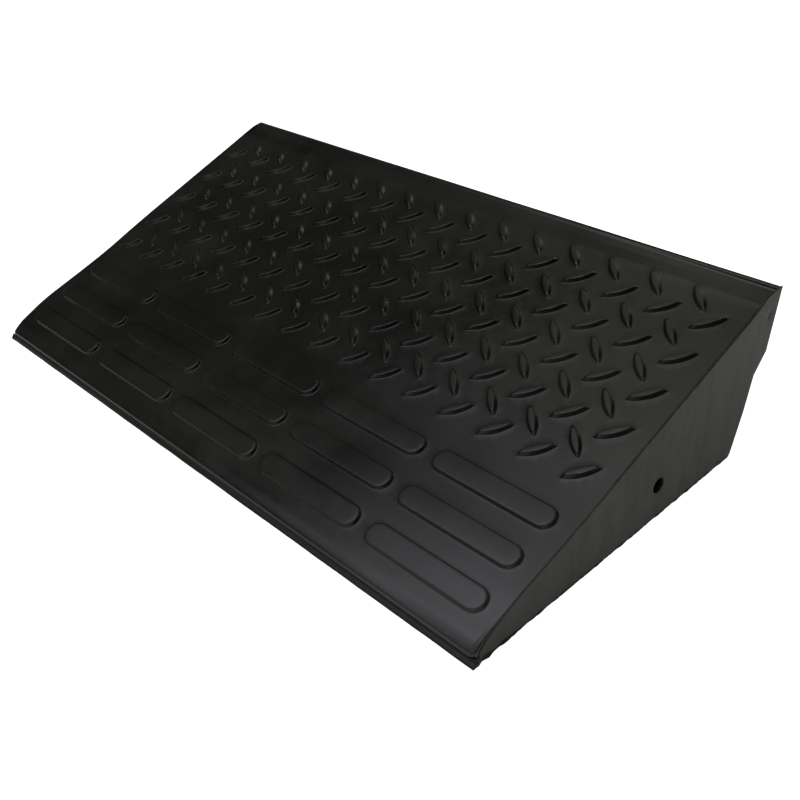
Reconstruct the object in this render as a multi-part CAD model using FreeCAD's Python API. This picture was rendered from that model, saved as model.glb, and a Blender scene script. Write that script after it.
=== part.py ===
import FreeCAD, Part
import math
import os

# Portable kerb / threshold ramp, moulded black rubber, hollow underneath.
# Frame: origin at the bottom centre of the bounding box, +X along the kerb,
# +Y from the toe to the kerb, +Z up.  Units are millimetres.
# Profile tables give (y, z) with y measured from the toe's front edge.  Left is -X, rear is +Y.

Vector = FreeCAD.Vector

# ---------------------------------------------------------------- overall sizes
WIDTH = 600.0            # along the kerb, between the end faces
HALF_WIDTH = WIDTH / 2.0
DEPTH = 322.0            # toe to kerb edge
HEIGHT = 122.0           # floor to the highest point, on the right end wall
BASE_DEPTH = 276.0       # footprint on the road, the kerb side is undercut
FLASH = 1.6              # moulding flash at the foot of the ends, and the toe tier's overhang
FLASH_HEIGHT = 0.8

SKIN = 9.0               # thickness of the tread cover
END_WALL = 12.0          # thickness of each end wall
END_EDGE = 0.8           # thin upstand of the end wall beside the tread
REAR_WALL = 12.0         # thickness of the rear wall at the floor
INNER_HALF = HALF_WIDTH - END_WALL   # half the width between the end walls
OVERCUT = 1.0            # cutters run this far past the faces they open

TOE_LENGTH = 34.0        # solid toe
TOE_TIER = 5.0           # height of the lower toe tier
TOE_STEP = 2.8           # the lower tier stands this far in front of the tread
CORNER_RADIUS = {-1: 4.0, 1: 5.4}    # rounding of the toe's corners in plan, by side
CORNER_FOOT = 2.4        # the lower tier fills the rounding up to this height

# ---------------------------------------------------------------- profile of the ramp
SLOPE = math.radians(19.4)   # main climbing plane
PLANE_Y = 287.45             # a point on that plane
PLANE_Z = 112.13
NOSE_SLOPE = math.radians(38)    # slope of the upper surface at its start


def plane_z(y):
    """Height of the climbing plane."""
    return PLANE_Z + (y - PLANE_Y) * math.tan(SLOPE)


# upper surface from the nose up to the climbing plane
TOP_CURVE = [(5.2, 10.0), (12.0, 14.7), (24.0, 19.9), (42.0, 26.9), (62.0, 33.4),
             (81.0, 39.2), (100.0, 45.2), (120.0, 52.0), (138.6, 59.1),
             (159.0, 66.7), (176.0, plane_z(176.0))]
# straight runs above it: end of the plane, shelf, then the rounded kerb lip
CREST = [(297.0, plane_z(297.0)), (310.8, 117.5),
         (316.4, 121.1), (318.2, 121.75), (320.8, 121.5), (DEPTH, 120.9)]
LIP_BACK = (319.3, 109.0)        # where the tread cover meets the rear wall
# rear face below LIP_BACK, downwards, and the rear wall's inner face, upwards
REAR_FACE = [(311.4, 74.0), (298.0, 60.0), (290.0, 33.0), (278.0, 2.6), (BASE_DEPTH, 0.0)]
REAR_INNER = [(BASE_DEPTH - REAR_WALL, 0.0), (278.5, 36.0), (286.0, 63.5), (300.0, 78.0)]
REAR_INNER_TOP_Y = 306.9         # where the inner face meets the skin
UNDER_PLANE_END_Y = 299.0        # end of the underside's straight run

TREAD_NOSE = [(4.2, TOE_TIER), (TOE_STEP, 5.9), (TOE_STEP, 7.0), (3.5, 8.6), TOP_CURVE[0]]
END_NOSE = [(TOE_STEP, 0), (TOE_STEP, 6.2), (2.9, 7.6), (3.6, 8.9), TOP_CURVE[0]]
TIER_FRONT = [(0.5, 0), (TOE_STEP, 0), (TOE_STEP, TOE_TIER), (0.7, TOE_TIER),
              (0, 4.3), (0, 0.5), (0.5, 0)]
# top of each end wall's thin fin, which bridges the hollow in front of the lip, by side
FINS = {-1: [(289.0, plane_z(289.0)), (308.0, plane_z(308.0)), (312.5, 120.5),
             (320.6, 121.5), (DEPTH, 121.2)],
        1: [(289.0, plane_z(289.0)), (301.0, 119.6), (304.0, 120.9),
            (320.6, HEIGHT), (DEPTH, 121.2)]}

# ---------------------------------------------------------------- grip pattern
LUG_PITCH_X = 37.025     # lattice of the raised lugs, across
LUG_PITCH_SLOPE = 36.55  # and along the slope
LUG_X = -2.0             # the lattice sits this far off the middle
LUG_FIRST_ROW = 0.5      # first row, down the slope from PLANE_Y
LUG_ROWS = 5
LUG_LENGTH, LUG_WIDTH, LUG_TIP = 27.6, 7.8, 1.0     # at the surface, the ends are blunt
LUG_TOP_LENGTH, LUG_TOP_WIDTH, LUG_TOP_TIP = 20.4, 4.3, 1.6
LUG_HEIGHT = 2.9
LUG_ROOT = 1.6           # the lug's flank continues this deep into the skin

BAR_LENGTH, BAR_WIDTH, BAR_HEIGHT = 105.3, 18.0, 2.75
BAR_ROOT = 1.0           # depth of the bars' root below the surface
BAR_SEEK_Z = 30          # height from which the nearest surface point is sought
BAR_CUT_HEIGHT = 90      # clears the top of every bar
BAR_ROWS = [(28.5, 116.5, 1.0), (61.2, 117.0, -1.3), (94.5, 117.0, -1.45)]
# columns: y, pitch along x, x of the middle bar

# ---------------------------------------------------------------- support ribs
RIB = 8.0
CROSS_PITCH = 96.0                            # ribs running up the slope
CROSS_X = [i * CROSS_PITCH for i in range(-2, 3)]
LONG_RIBS = {"front_long_rib": 105.0, "rear_long_rib": 225.0}   # y of ribs along the kerb

# ---------------------------------------------------------------- joining hardware
HOLE_Y, HOLE_Z = 185.2, 27.1                  # joining hole in both end walls
HOLE_RADIUS = 5.75                            # clearance for an M10 bolt
BOSS_RADIUS = 15.0
BOSS_DEPTH = 34.0                             # boss ends this far in from the end face
SLEEVE_RADIUS = 7.5
SLEEVE_START = 8.0                            # rubber covers the sleeve's outer end
DIMPLE_Y, DIMPLE_Z, DIMPLE_RADIUS, DIMPLE_DEPTH = 307.5, 104.4, 3.0, 0.6

BOLT_RADIUS, BOLT_LENGTH = 5.0, 70.0          # M10
BOLT_FLATS, BOLT_HEAD = 16.0, 6.4             # across flats (nut too), head height
BOLT_TIP_INSET = 2.0                          # tip rests this far inside the end face
BOLT_POINT = 1.0                              # chamfer at the tip
CROWN_WIDE, CROWN_NARROW = 1.19, 0.95         # head's cone, relative to half the flats
WASHER_RADIUS, WASHER_THICK, WASHER_HOLE = 10.0, 2.0, 5.25
WASHER_GAP = 0.05
NUT_HEIGHT, NUT_HOLE = 8.4, 4.25              # M10 nut, minor radius of its thread
NUT_CHAMFER = 0.9
NUT_INSET = 0.6                               # nut sits this far inside the boss's end

NUT_OUTER_X = HALF_WIDTH - BOSS_DEPTH + NUT_INSET + NUT_HEIGHT
BOLT_TIP_X = -HALF_WIDTH + BOLT_TIP_INSET
HEAD_X = BOLT_TIP_X + BOLT_LENGTH

# ---------------------------------------------------------------- helpers
TOE_Y = -DEPTH / 2.0                          # frame Y of the toe's front edge


def point(y, z, x=0.0):
    return Vector(x, y + TOE_Y, z)


def points(table):
    return [point(y, z) for y, z in table]


def spline(through, **tangents):
    curve = Part.BSplineCurve()
    curve.interpolate(Points=through, **tangents)
    return curve


def chain(corners):
    return [Part.makeLine(a, b) for a, b in zip(corners, corners[1:])]


def prism(edges, x0, x1):
    """Solid from a closed outline in the YZ plane, between two X positions."""
    face = Part.Face(Part.Wire(Part.__sortEdges__(edges)))
    face.translate(Vector(x0, 0, 0))
    return face.extrude(Vector(x1 - x0, 0, 0))


def span(side, near, far):
    """X limits, low first, of a stretch given by distances from the middle."""
    return sorted((side * near, side * far))


def rod(radius, x0, x1):
    """Cylinder on the joining hole's axis."""
    return Part.makeCylinder(radius, x1 - x0, point(HOLE_Y, HOLE_Z, x0), Vector(1, 0, 0))


def cone(radius0, radius1, x0, length):
    """Cone on the joining hole's axis."""
    return Part.makeCone(radius0, radius1, length, point(HOLE_Y, HOLE_Z, x0), Vector(1, 0, 0))


def hexagon(x0, x1):
    """Hexagonal bar on the joining hole's axis."""
    radius = BOLT_FLATS / math.sqrt(3.0)
    corners = []
    for i in range(7):
        angle = math.radians(60 * i)
        corners.append(point(HOLE_Y + radius * math.cos(angle),
                             HOLE_Z + radius * math.sin(angle), x0))
    return Part.Face(Part.makePolygon(corners)).extrude(Vector(x1 - x0, 0, 0))


def corner_tool(side, z0, z1):
    """The piece that rounding takes off a toe corner."""
    radius = CORNER_RADIUS[side]
    x0, x1 = span(side, HALF_WIDTH - radius, HALF_WIDTH + 3.0)
    box = Part.makeBox(x1 - x0, TOE_STEP + radius + 2.0, z1 - z0, point(-2.0, z0, x0))
    centre = point(TOE_STEP + radius, z0, side * (HALF_WIDTH - radius))
    return box.cut(Part.makeCylinder(radius, z1 - z0, centre, Vector(0, 0, 1)))


def round_corner(shape, side):
    return shape.cut(corner_tool(side, -1.0, 20.0))


# ---------------------------------------------------------------- surface curves
top_points = points(TOP_CURVE)
top_curve = spline(top_points,
                   InitialTangent=Vector(0, math.cos(NOSE_SLOPE), math.sin(NOSE_SLOPE)),
                   FinalTangent=Vector(0, math.cos(SLOPE), math.sin(SLOPE)))


def offset_top(distance, steps):
    """Points of the top curve moved along its own upward normal."""
    first, last = top_curve.FirstParameter, top_curve.LastParameter
    moved = []
    for i in range(steps + 1):
        u = first + (last - first) * i / steps
        tangent = top_curve.tangent(u)[0]
        moved.append(top_curve.value(u) + Vector(0, -tangent.z, tangent.y) * distance)
    return moved


def underside_points():
    """Underside of the skin, above the toe tier."""
    above = [p for p in offset_top(-SKIN, 60) if p.z > TOE_TIER + 0.05]
    # drop points that would fold back, then keep every fourth and the last
    clean = [above[0]]
    for p in above[1:]:
        if p.y > clean[-1].y + 2.0:
            clean.append(p)
    kept = clean[::4]
    if kept[-1] is not clean[-1]:
        kept.append(clean[-1])
    kept[0] = Vector(0, kept[0].y, max(kept[0].z, TOE_TIER + 0.2))
    return kept


under_points = underside_points()
under_curve = spline(under_points)
under_start = under_points[0]
under_curve_end = under_points[-1]
under_foot = Vector(0, under_start.y, TOE_TIER)      # below the start, on the toe tier
under_plane_end = point(UNDER_PLANE_END_Y, plane_z(UNDER_PLANE_END_Y) - SKIN / math.cos(SLOPE))
lip_back = point(*LIP_BACK)


def under_z(y):
    """Height of the skin's underside above the floor."""
    frame_y = y + TOE_Y
    if frame_y < under_curve_end.y:
        upright = Part.LineSegment(Vector(0, frame_y, -50), Vector(0, frame_y, 200))
        return under_curve.intersect(upright)[0].Z
    if y <= UNDER_PLANE_END_Y:
        return plane_z(y) - SKIN / math.cos(SLOPE)
    a, b = under_plane_end, lip_back
    return a.z + (b.z - a.z) * (frame_y - a.y) / (b.y - a.y)


def under_point(y):
    return point(y, under_z(y))


def under_parameter(y):
    return under_curve.parameter(under_point(y))


def under_segment(first, last):
    """Part of the underside's curve between two parameters."""
    segment = under_curve.copy()
    segment.segment(first, last)
    return segment


def under_edges(y_from, end):
    """Edges of the skin's underside from y_from on the curve to the point end."""
    curved = under_segment(under_parameter(y_from), under_curve.LastParameter).toShape()
    return [curved] + chain([under_curve_end, under_plane_end, end])


rear_inner_top = under_point(REAR_INNER_TOP_Y)

# ---------------------------------------------------------------- tread cover


def lens(length, width, tip, z):
    """Lens outline with blunt ends, long axis along local X."""
    x, y = length / 2, tip / 2
    a, b, c, d = Vector(-x, y, z), Vector(x, y, z), Vector(x, -y, z), Vector(-x, -y, z)
    return Part.Wire([Part.Arc(a, Vector(0, width / 2, z), b).toShape(), Part.makeLine(b, c),
                      Part.Arc(c, Vector(0, -width / 2, z), d).toShape(), Part.makeLine(d, a)])


def make_lug():
    """One lug, standing on the local XY plane."""
    length_gain = (LUG_LENGTH - LUG_TOP_LENGTH) / LUG_HEIGHT * LUG_ROOT
    width_gain = (LUG_WIDTH - LUG_TOP_WIDTH) / LUG_HEIGHT * LUG_ROOT
    root = lens(LUG_LENGTH + length_gain, LUG_WIDTH + width_gain, LUG_TIP, -LUG_ROOT)
    top = lens(LUG_TOP_LENGTH, LUG_TOP_WIDTH, LUG_TOP_TIP, LUG_HEIGHT)
    return Part.makeLoft([root, top], True, True)


def place_lug(lug, column, row, lean):
    """Copy a lug onto the lattice; lean +1 points up the slope to the right, -1 down."""
    down = Vector(0, -math.cos(SLOPE), -math.sin(SLOPE))
    normal = Vector(0, -math.sin(SLOPE), math.cos(SLOPE))
    centre = point(PLANE_Y, PLANE_Z, LUG_X + column * LUG_PITCH_X)
    centre = centre + down * (row * LUG_PITCH_SLOPE + LUG_FIRST_ROW)
    along = Vector(math.cos(math.pi / 4), 0, 0) - down * (lean * math.sin(math.pi / 4))
    across = normal.cross(along)
    placed = lug.copy()
    placed.Placement = FreeCAD.Placement(FreeCAD.Matrix(
        along.x, across.x, normal.x, centre.x,
        along.y, across.y, normal.y, centre.y,
        along.z, across.z, normal.z, centre.z,
        0, 0, 0, 1))
    return placed


def make_lugs():
    """Rows of lugs, with rows of the opposite lean staggered between them."""
    lug = make_lug()
    lugs = []
    for row in range(LUG_ROWS):
        lugs += [place_lug(lug, i, row, -1) for i in range(-7, 8)]
        lugs += [place_lug(lug, i + 0.5, row + 0.5, 1) for i in range(-8, 8)]
    return lugs


def make_bars():
    """Long bars near the toe: upright pills cut from a layer that follows the surface."""
    over, root = offset_top(BAR_HEIGHT, 30), offset_top(-BAR_ROOT, 30)
    layer = prism([spline(over).toShape(), spline(root).toShape(),
                   Part.makeLine(over[0], root[0]), Part.makeLine(over[-1], root[-1])],
                  -HALF_WIDTH, HALF_WIDTH)
    bars = []
    for y, pitch, middle_x in BAR_ROWS:
        tangent = top_curve.tangent(top_curve.parameter(point(y, BAR_SEEK_Z)))[0]
        radius = BAR_WIDTH * tangent.y / 2.0      # half the width, seen from above
        reach = BAR_LENGTH / 2.0 - radius
        for i in range(-2, 3):
            x = middle_x + i * pitch
            a, b = point(y - radius, 0, x - reach), point(y - radius, 0, x + reach)
            c, d = point(y + radius, 0, x + reach), point(y + radius, 0, x - reach)
            outline = Part.Wire([
                Part.makeLine(a, b),
                Part.Arc(b, point(y, 0, x + reach + radius), c).toShape(),
                Part.makeLine(c, d),
                Part.Arc(d, point(y, 0, x - reach - radius), a).toShape()])
            pill = Part.Face(outline).extrude(Vector(0, 0, BAR_CUT_HEIGHT))
            bars += pill.common(layer).Solids
    return bars


def tread_cover():
    nose = points(TREAD_NOSE)
    outline = chain(nose) + [top_curve.toShape()]
    outline += chain([top_points[-1]] + points(CREST)
                     + [lip_back, under_plane_end, under_curve_end])
    outline.append(under_curve.toShape())
    outline += chain([under_curve.value(under_curve.FirstParameter), under_foot, nose[0]])
    tread = prism(outline, -HALF_WIDTH + END_EDGE, HALF_WIDTH - END_EDGE)
    for side in (-1, 1):
        tread = round_corner(tread, side)
    return tread.fuse(make_bars()).fuse(make_lugs()).removeSplitter()


# ---------------------------------------------------------------- toe and rear wall


def toe_strip():
    """Solid toe between the end walls, with the full-width lower tier in front."""
    curved = under_segment(under_curve.FirstParameter, under_parameter(TOE_LENGTH))
    outline = [curved.toShape()]
    outline += chain([curved.value(curved.LastParameter), point(TOE_LENGTH, 0),
                      point(TOE_STEP, 0), point(TOE_STEP, TOE_TIER), under_foot,
                      curved.value(curved.FirstParameter)])
    toe = prism(outline, -INNER_HALF, INNER_HALF)
    toe = toe.fuse(prism(chain(points(TIER_FRONT)), -HALF_WIDTH - FLASH, HALF_WIDTH + FLASH))
    for side in (-1, 1):
        radius = CORNER_RADIUS[side]
        x0, x1 = span(side, HALF_WIDTH - radius, HALF_WIDTH)
        foot = Part.makeBox(x1 - x0, radius, CORNER_FOOT, point(TOE_STEP, 0, x0))
        toe = toe.fuse(foot.common(corner_tool(side, 0.0, CORNER_FOOT)))
    return toe.removeSplitter()


def rear_wall():
    outline = chain([lip_back] + points(REAR_FACE + REAR_INNER) + [rear_inner_top, lip_back])
    return prism(outline, -INNER_HALF, INNER_HALF)


# ---------------------------------------------------------------- end walls


def end_sheet_outline(side):
    """Full section of the ramp, with the fin on top."""
    return (chain(points(END_NOSE)) + [top_curve.toShape()]
            + chain([top_points[-1]]
                    + points(FINS[side] + [LIP_BACK] + REAR_FACE + [(TOE_STEP, 0)])))


def end_core_outline():
    """Everything under the tread cover."""
    toe_face = points([(TOE_STEP, 0), (TOE_STEP, TOE_TIER)])
    return (under_edges(under_start.y - TOE_Y, lip_back)
            + chain([lip_back] + points(REAR_FACE) + toe_face + [under_foot, under_start]))


def end_wall(side):
    """Thin outer sheet, thicker core, foot flash and a boss around the joining hole."""
    wall = prism(end_sheet_outline(side), *span(side, HALF_WIDTH - END_EDGE, HALF_WIDTH))
    core_span = span(side, INNER_HALF, HALF_WIDTH - END_EDGE)
    wall = wall.fuse(prism(end_core_outline(), *core_span))
    x0, x1 = span(side, HALF_WIDTH - 1.0, HALF_WIDTH + FLASH)
    wall = wall.fuse(Part.makeBox(x1 - x0, BASE_DEPTH - TOE_STEP, FLASH_HEIGHT,
                                  point(TOE_STEP, 0, x0)))
    wall = round_corner(wall, side)
    boss_end = HALF_WIDTH - BOSS_DEPTH
    wall = wall.fuse(rod(BOSS_RADIUS, *span(side, boss_end, INNER_HALF)))
    wall = wall.cut(rod(HOLE_RADIUS, *span(side, HALF_WIDTH + OVERCUT, boss_end - OVERCUT)))
    wall = wall.cut(rod(SLEEVE_RADIUS,
                        *span(side, HALF_WIDTH - SLEEVE_START, boss_end - OVERCUT)))
    dimple_floor = point(DIMPLE_Y, DIMPLE_Z, side * (HALF_WIDTH - DIMPLE_DEPTH))
    wall = wall.cut(Part.makeCylinder(DIMPLE_RADIUS, DIMPLE_DEPTH + OVERCUT, dimple_floor,
                                      Vector(side, 0, 0)))
    if side == 1:
        # pocket for the captive nut
        wall = wall.cut(hexagon(boss_end - OVERCUT, NUT_OUTER_X))
    return wall.removeSplitter()


# ---------------------------------------------------------------- support ribs


def cross_rib(x):
    outline = under_edges(TOE_LENGTH, rear_inner_top)
    outline += chain([rear_inner_top] + points(reversed(REAR_INNER))
                     + [point(TOE_LENGTH, 0), under_point(TOE_LENGTH)])
    return prism(outline, x - RIB / 2, x + RIB / 2)


def long_rib(y):
    front, rear = y - RIB / 2, y + RIB / 2
    front_top, rear_top = under_point(front), under_point(rear)
    if y + TOE_Y > under_curve_end.y:
        top = Part.makeLine(rear_top, front_top)
    else:
        top = under_segment(under_parameter(front), under_parameter(rear)).toShape()
    outline = chain([point(front, 0), point(rear, 0), rear_top])
    outline += [top, Part.makeLine(front_top, point(front, 0))]
    return prism(outline, -INNER_HALF, INNER_HALF)


def support_ribs():
    """Ribs halved into each other: cross ribs slotted from below, long ribs from above."""
    ribs = {name: long_rib(y) for name, y in LONG_RIBS.items()}
    for i, x in enumerate(CROSS_X, 1):
        rib = cross_rib(x)
        for name, y in LONG_RIBS.items():
            middle = round(under_z(y) / 2.0, 1)
            rib = rib.cut(Part.makeBox(RIB + 2 * OVERCUT, RIB, middle + OVERCUT,
                                       point(y - RIB / 2, -OVERCUT, x - RIB / 2 - OVERCUT)))
            notch = Part.makeBox(RIB, RIB + 2 * OVERCUT, 200,
                                 point(y - RIB / 2 - OVERCUT, middle, x - RIB / 2))
            ribs[name] = ribs[name].cut(notch)
        ribs["cross_rib_%d" % i] = rib
    return ribs


# ---------------------------------------------------------------- joining hardware


def bolt_sleeve(x0, x1):
    """Steel sleeve that lines a joining hole."""
    return rod(SLEEVE_RADIUS, x0, x1).cut(rod(HOLE_RADIUS, x0 - OVERCUT, x1 + OVERCUT))


def captive_nut():
    inner_x = NUT_OUTER_X - NUT_HEIGHT
    nut = hexagon(inner_x, NUT_OUTER_X)
    nut = nut.cut(rod(NUT_HOLE, inner_x - OVERCUT, NUT_OUTER_X + OVERCUT))
    return nut.cut(cone(NUT_HOLE, NUT_HOLE + NUT_CHAMFER, NUT_OUTER_X - NUT_CHAMFER,
                        NUT_CHAMFER))


def joining_bolt():
    """Bolt in the left end wall, its head inwards."""
    shank = rod(BOLT_RADIUS, BOLT_TIP_X + BOLT_POINT, HEAD_X)
    tip = cone(BOLT_RADIUS - BOLT_POINT, BOLT_RADIUS, BOLT_TIP_X, BOLT_POINT)
    crown = cone(BOLT_FLATS / 2 * CROWN_WIDE, BOLT_FLATS / 2 * CROWN_NARROW, HEAD_X, BOLT_HEAD)
    head = hexagon(HEAD_X, HEAD_X + BOLT_HEAD).common(crown)
    return shank.fuse([tip, head]).removeSplitter()


def bolt_washer():
    washer = rod(WASHER_RADIUS, HEAD_X - WASHER_THICK - WASHER_GAP, HEAD_X - WASHER_GAP)
    return washer.cut(rod(WASHER_HOLE, HEAD_X - WASHER_THICK - OVERCUT, HEAD_X + OVERCUT))


# ---------------------------------------------------------------- build and write
parts = {
    "tread_cover": tread_cover(),
    "toe_strip": toe_strip(),
    "rear_wall": rear_wall(),
    "left_end_wall": end_wall(-1),
    "right_end_wall": end_wall(1),
    "left_bolt_sleeve": bolt_sleeve(-HALF_WIDTH + SLEEVE_START, -HALF_WIDTH + BOSS_DEPTH),
    # the right sleeve leaves room for the captive nut
    "right_bolt_sleeve": bolt_sleeve(NUT_OUTER_X, HALF_WIDTH - SLEEVE_START),
    "captive_nut": captive_nut(),
    "joining_bolt": joining_bolt(),
    "bolt_washer": bolt_washer(),
}
parts.update(support_ribs())

os.makedirs("parts", exist_ok=True)
for name, shape in parts.items():
    solids = shape.Solids
    piece = solids[0] if len(solids) == 1 else Part.makeCompound(solids)
    piece.exportStep("parts/%s.step" % name)
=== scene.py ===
"""Rubber kerb ramp: ribbed and lugged tread, toe, rear wall, two end panels and a joining bolt.

X runs along the ramp (right end +X), Y from the toe (front) to the kerb side (rear), Z up.
Shapes are worked out in mm. Sections are (y, z) with y counted from near the toe's front
edge, which lies at Y0 in the frame. Meshes are scaled to metres last.
"""
import math

import bpy
import bmesh
import numpy as np
from mathutils import Matrix, Vector, geometry, noise


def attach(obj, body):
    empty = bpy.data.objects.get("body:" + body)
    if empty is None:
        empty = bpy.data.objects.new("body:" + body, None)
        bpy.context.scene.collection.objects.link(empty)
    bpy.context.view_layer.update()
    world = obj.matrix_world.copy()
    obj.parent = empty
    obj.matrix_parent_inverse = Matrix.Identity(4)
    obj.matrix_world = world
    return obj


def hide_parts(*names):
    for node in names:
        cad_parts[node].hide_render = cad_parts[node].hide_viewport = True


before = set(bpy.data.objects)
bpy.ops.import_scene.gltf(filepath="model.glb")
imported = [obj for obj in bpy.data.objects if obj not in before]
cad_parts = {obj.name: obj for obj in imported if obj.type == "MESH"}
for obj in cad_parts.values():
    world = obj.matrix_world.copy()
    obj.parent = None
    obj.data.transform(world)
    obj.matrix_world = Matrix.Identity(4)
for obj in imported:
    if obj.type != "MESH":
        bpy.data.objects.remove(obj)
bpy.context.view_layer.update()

MM = 0.001
Y0 = -161.0
HALF = 300.0                     # X of the end faces
FLASH = 1.6                      # furthest the moulding flash reaches past an end face
TREAD_HALF = 299.2               # the tread stops here, the end panels' thin edge goes on
SLOPE = math.radians(19.4)       # of the flat upper part
PLANE_Y, PLANE_Z = 287.45, 112.13
PLANE_START = 176                # y where the curved front part meets the flat part
SKIN = 9.0                       # thickness of the tread cover
NOISE_ORIGIN = Vector((13.7, 5.1, 2.9))


# ------------------------------------------------------------------ numbers and outlines
def clamp01(value):
    return max(0.0, min(1.0, value))


def bell(value, centre, width):
    return math.exp(-((value - centre) / width) ** 2)


def smooth_noise(u, v, size, seed):
    """Repeatable noise in -1..1, with features of about the given size in mm."""
    return noise.noise(Vector((u / size + seed, v / size - seed, 0.37 * seed)) + NOISE_ORIGIN)


def plane_z(y):
    return PLANE_Z + (y - PLANE_Y) * math.tan(SLOPE)


def plane_under_z(y):
    return plane_z(y) - SKIN / math.cos(SLOPE)


def spline(points, start_tangent, end_tangent, step):
    """Clamped cubic spline through 2-D points, by chord length, as a dense polyline."""
    p = np.array(points, float)
    chord = np.linalg.norm(np.diff(p, axis=0), axis=1)
    count = len(p)
    system = np.zeros((count, count))
    target = np.zeros((count, 2))
    system[0, 0] = system[-1, -1] = 1
    target[0], target[-1] = start_tangent, end_tangent
    for i in range(1, count - 1):
        before, after = chord[i - 1], chord[i]
        system[i, i - 1:i + 2] = after, 2 * (before + after), before
        target[i] = 3 * (before * (p[i + 1] - p[i]) / after + after * (p[i] - p[i - 1]) / before)
    tangent = np.linalg.solve(system, target)
    out = []
    for i, h in enumerate(chord):
        pieces = max(2, int(h / step))
        for j in range(pieces):
            t = j / pieces
            out.append((2 * t**3 - 3 * t**2 + 1) * p[i] + (t**3 - 2 * t**2 + t) * h * tangent[i]
                       + (-2 * t**3 + 3 * t**2) * p[i + 1] + (t**3 - t**2) * h * tangent[i + 1])
    out.append(p[-1])
    return [tuple(q) for q in out]


def rounded(points, radii, closed=False, seg=5):
    """2-D polyline with its corners rounded to the given radii, as far as they fit."""
    count = len(points)
    out = []
    for i, radius in enumerate(radii):
        if radius <= 0 or (not closed and i in (0, count - 1)):
            out.append(tuple(points[i]))
            continue
        corner = np.array(points[i], float)
        back = np.array(points[i - 1], float) - corner
        ahead = np.array(points[(i + 1) % count], float) - corner
        back_len, ahead_len = np.linalg.norm(back), np.linalg.norm(ahead)
        back, ahead = back / back_len, ahead / ahead_len
        angle = math.acos(max(-1, min(1, float(back @ ahead))))
        if angle > math.pi - 0.02:
            out.append(tuple(corner))
            continue
        trim = min(radius / math.tan(angle / 2), back_len * 0.49, ahead_len * 0.49)
        fitted = trim * math.tan(angle / 2)
        middle = (back + ahead) / np.linalg.norm(back + ahead)
        centre = corner + middle * fitted / math.sin(angle / 2)
        start, end = corner + back * trim - centre, corner + ahead * trim - centre
        for j in range(seg + 1):
            t = j / seg
            spoke = start * (1 - t) + end * t
            spoke = spoke / np.linalg.norm(spoke) * fitted
            out.append(tuple(centre + spoke))
    return out


def densify(path, step):
    out = [path[0]]
    for a, b in zip(path, path[1:]):
        pieces = max(1, int(math.ceil(math.dist(a, b) / step)))
        for j in range(1, pieces + 1):
            out.append((a[0] + (b[0] - a[0]) * j / pieces, a[1] + (b[1] - a[1]) * j / pieces))
    return out


def inset(outline, depth):
    """Moves a closed outline inwards along its vertex normals."""
    p = np.array(outline, float)
    after = np.roll(p, -1, axis=0)
    area = 0.5 * np.sum(p[:, 0] * after[:, 1] - after[:, 0] * p[:, 1])
    turn = 1.0 if area > 0 else -1.0
    out = []
    for i in range(len(p)):
        a, b = p[i] - p[i - 1], p[(i + 1) % len(p)] - p[i]
        a, b = a / (np.linalg.norm(a) or 1), b / (np.linalg.norm(b) or 1)
        normal = np.array([-a[1], a[0]]) * turn + np.array([-b[1], b[0]]) * turn
        normal /= max(0.4, np.linalg.norm(normal) ** 2 / 2)
        out.append(tuple(p[i] + normal * depth))
    return out


def inside_outline(outline, x, y):
    inside = False
    xj, yj = outline[-1]
    for xi, yi in outline:
        if (yi > y) != (yj > y) and x < (xj - xi) * (y - yi) / (yj - yi) + xi:
            inside = not inside
        xj, yj = xi, yi
    return inside


def circle(centre, radius, count=32):
    turns = [2 * math.pi * i / count for i in range(count)]
    return [(centre[0] + radius * math.cos(a), centre[1] + radius * math.sin(a)) for a in turns]


class Path:
    """A 2-D polyline by arc length, with smoothed normals to its left."""

    def __init__(self, points):
        p = np.array(points, float)
        gaps = np.linalg.norm(np.diff(p, axis=0), axis=1)
        self.points = p[np.r_[True, gaps > 1e-6]]
        gaps = np.linalg.norm(np.diff(self.points, axis=0), axis=1)
        self.arc = np.r_[0, np.cumsum(gaps)]
        self.length = float(self.arc[-1])
        tangent = np.gradient(self.points, self.arc, axis=0)
        tangent /= np.linalg.norm(tangent, axis=1)[:, None]
        self.normals = np.stack([-tangent[:, 1], tangent[:, 0]], 1)

    def at(self, s, height=0.0):
        """(y, z) at arc length s, raised along the normal."""
        y, z = (np.interp(s, self.arc, self.points[:, i]) for i in (0, 1))
        ny, nz = (np.interp(s, self.arc, self.normals[:, i]) for i in (0, 1))
        size = math.hypot(ny, nz) or 1.0
        return y + ny / size * height, z + nz / size * height

    def s_at_y(self, y, low, high):
        s = np.linspace(low, high, 4000)
        return float(s[np.argmin(abs(np.interp(s, self.arc, self.points[:, 0]) - y))])


# ------------------------------------------------------------------ mesh helpers
def loft(bm, loops, closed=True):
    """Quads between each loop of vertices and the next."""
    for a, b in zip(loops, loops[1:]):
        count = len(a)
        for i in range(count if closed else count - 1):
            j = (i + 1) % count
            bm.faces.new((a[i], a[j], b[j], b[i]))


def add_loop(bm, outline, x):
    """Vertices of a (y, z) outline at one X."""
    return [bm.verts.new(Vector((x, y + Y0, z))) for y, z in outline]


def add_triangulated(bm, rings, loose, place, keep):
    """Triangulates 2-D rings and loose points; place(u, v) gives a vertex its 3-D position,
    keep(u, v) tells whether the triangle centred there is wanted."""
    points, edges = [], []
    for ring in rings:
        first, count = len(points), len(ring)
        points.extend(ring)
        edges.extend((first + i, first + (i + 1) % count) for i in range(count))
    points.extend(loose)
    flat, _, faces, *_ = geometry.delaunay_2d_cdt([Vector(p) for p in points], edges, [], 0, 1e-6)
    verts = [bm.verts.new(place(p.x, p.y)) for p in flat]
    for face in faces:
        if keep(sum(flat[i].x for i in face) / 3, sum(flat[i].y for i in face) / 3):
            bm.faces.new([verts[i] for i in face])


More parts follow.
